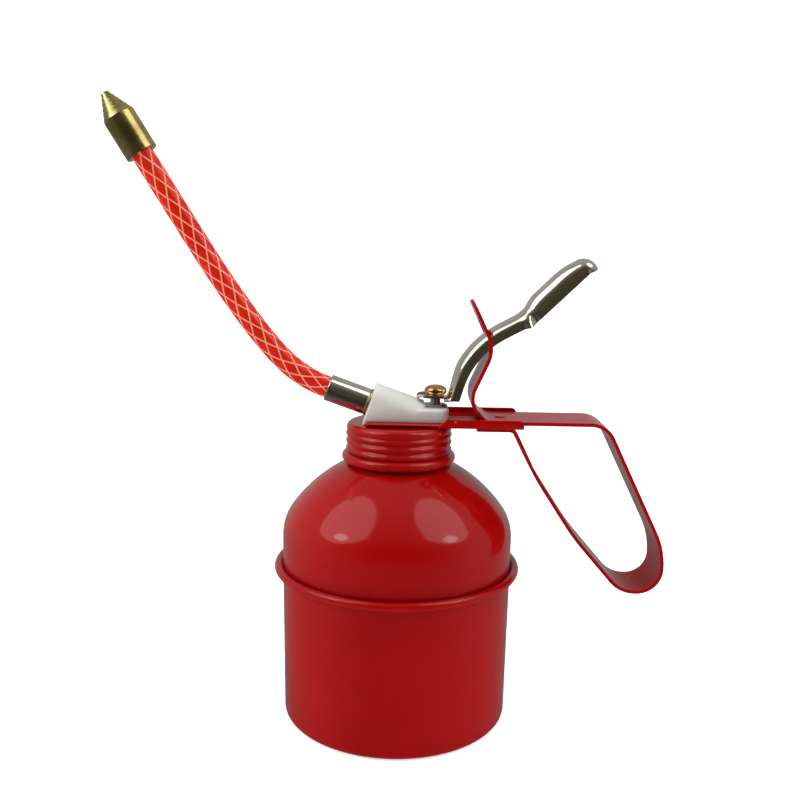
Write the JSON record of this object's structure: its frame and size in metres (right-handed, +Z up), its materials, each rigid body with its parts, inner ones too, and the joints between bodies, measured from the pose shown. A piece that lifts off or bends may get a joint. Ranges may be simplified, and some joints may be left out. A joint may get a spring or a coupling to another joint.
{
  "type": "lever pump oil can",
  "caption": "Round pressed steel oil can with a screw cap, a strap handle, a lever-worked plunger pump and a flexible braided spout.",
  "frame": {"origin": "centre of the can's flat base, on the plane that it stands on", "axes": "+Z up along the can's axis; +X towards the hand loop and the lever's grip; the spout rises along -X; +Y completes the frame"},
  "size_m": [0.204, 0.0916, 0.2271],
  "materials": {
    "paint": "glossy red stove enamel on pressed steel",
    "steel": "plain bright steel",
    "dark_steel": "dark oiled steel",
    "rubber": "black oil-proof rubber",
    "nylon": "white moulded nylon, slightly translucent",
    "brass": "turned brass",
    "tube_plastic": "natural plastic tube",
    "copper": "polished copper-coloured brass",
    "nickel": "bright plated, mirror smooth",
    "hose": "red clear plastic hose with pale braid inside"
  },
  "bodies": {
    "can": {"can_cup": "paint", "can_shoulder": "paint"},
    "gasket": {"cap_gasket": "rubber"},
    "pump_unit": {"screw_cap": "paint", "bracket": "paint", "handle_strap": "paint", "strap_rivet": "steel", "pump_head": "nylon", "lock_nut": "steel", "nut_washer": "steel", "gland_nut": "dark_steel", "rod_seal": "rubber", "pump_barrel": "brass", "barrel_seal": "rubber", "ball_stop": "steel", "foot_valve": "brass", "dip_tube": "tube_plastic", "strainer": "brass", "return_spring": "steel", "outlet_spring": "steel", "hose_tail": "brass", "ferrule": "nickel", "hose": "hose", "nozzle": "brass"},
    "rod": {"pump_rod": "steel", "rod_knob": "copper", "piston_washer": "brass", "piston_cup": "rubber", "piston_nut": "brass"},
    "lever": {"lever": "nickel"},
    "suction_ball": {"suction_ball": "steel"},
    "outlet_ball": {"outlet_ball": "steel"}
  },
  "joints": [
    {"name": "cap_lift", "type": "slide", "parent": "can", "child": "gasket", "axis": [0, 0, 1], "range_m": [0, 0.0083]},
    {"name": "cap_turn", "type": "hinge", "parent": "gasket", "child": "pump_unit", "pos_m": [0, 0, 0.1], "axis": [0, 0, 1], "range_deg": [0, 1080]},
    {"name": "rod_lift", "type": "slide", "parent": "pump_unit", "child": "rod", "axis": [0, 0, 1], "range_m": [0, 0.00825], "stiffness_N_per_m": 300, "springref_m": -0.02, "deforming": ["return_spring"]},
    {"name": "lever_press", "type": "hinge", "parent": "rod", "child": "lever", "pos_m": [0.0131, 0, 0.1236], "axis": [0, 1, 0], "range_deg": [0, 15.1]},
    {"name": "suction_ball_lift", "type": "slide", "parent": "pump_unit", "child": "suction_ball", "axis": [0, 0, 1], "range_m": [0, 0.0008]},
    {"name": "outlet_ball_lift", "type": "slide", "parent": "pump_unit", "child": "outlet_ball", "axis": [-0.9426, 0, 0.3338], "range_m": [0, 0.0008], "stiffness_N_per_m": 50, "springref_m": -0.001, "deforming": ["outlet_spring"]}
  ],
  "couplings": [
    {"joint": "cap_lift", "follows": "cap_turn", "m_per_rad": 0.00043768},
    {"joint": "lever_press", "follows": "rod_lift", "rad_per_m": 31.733}
  ]
}
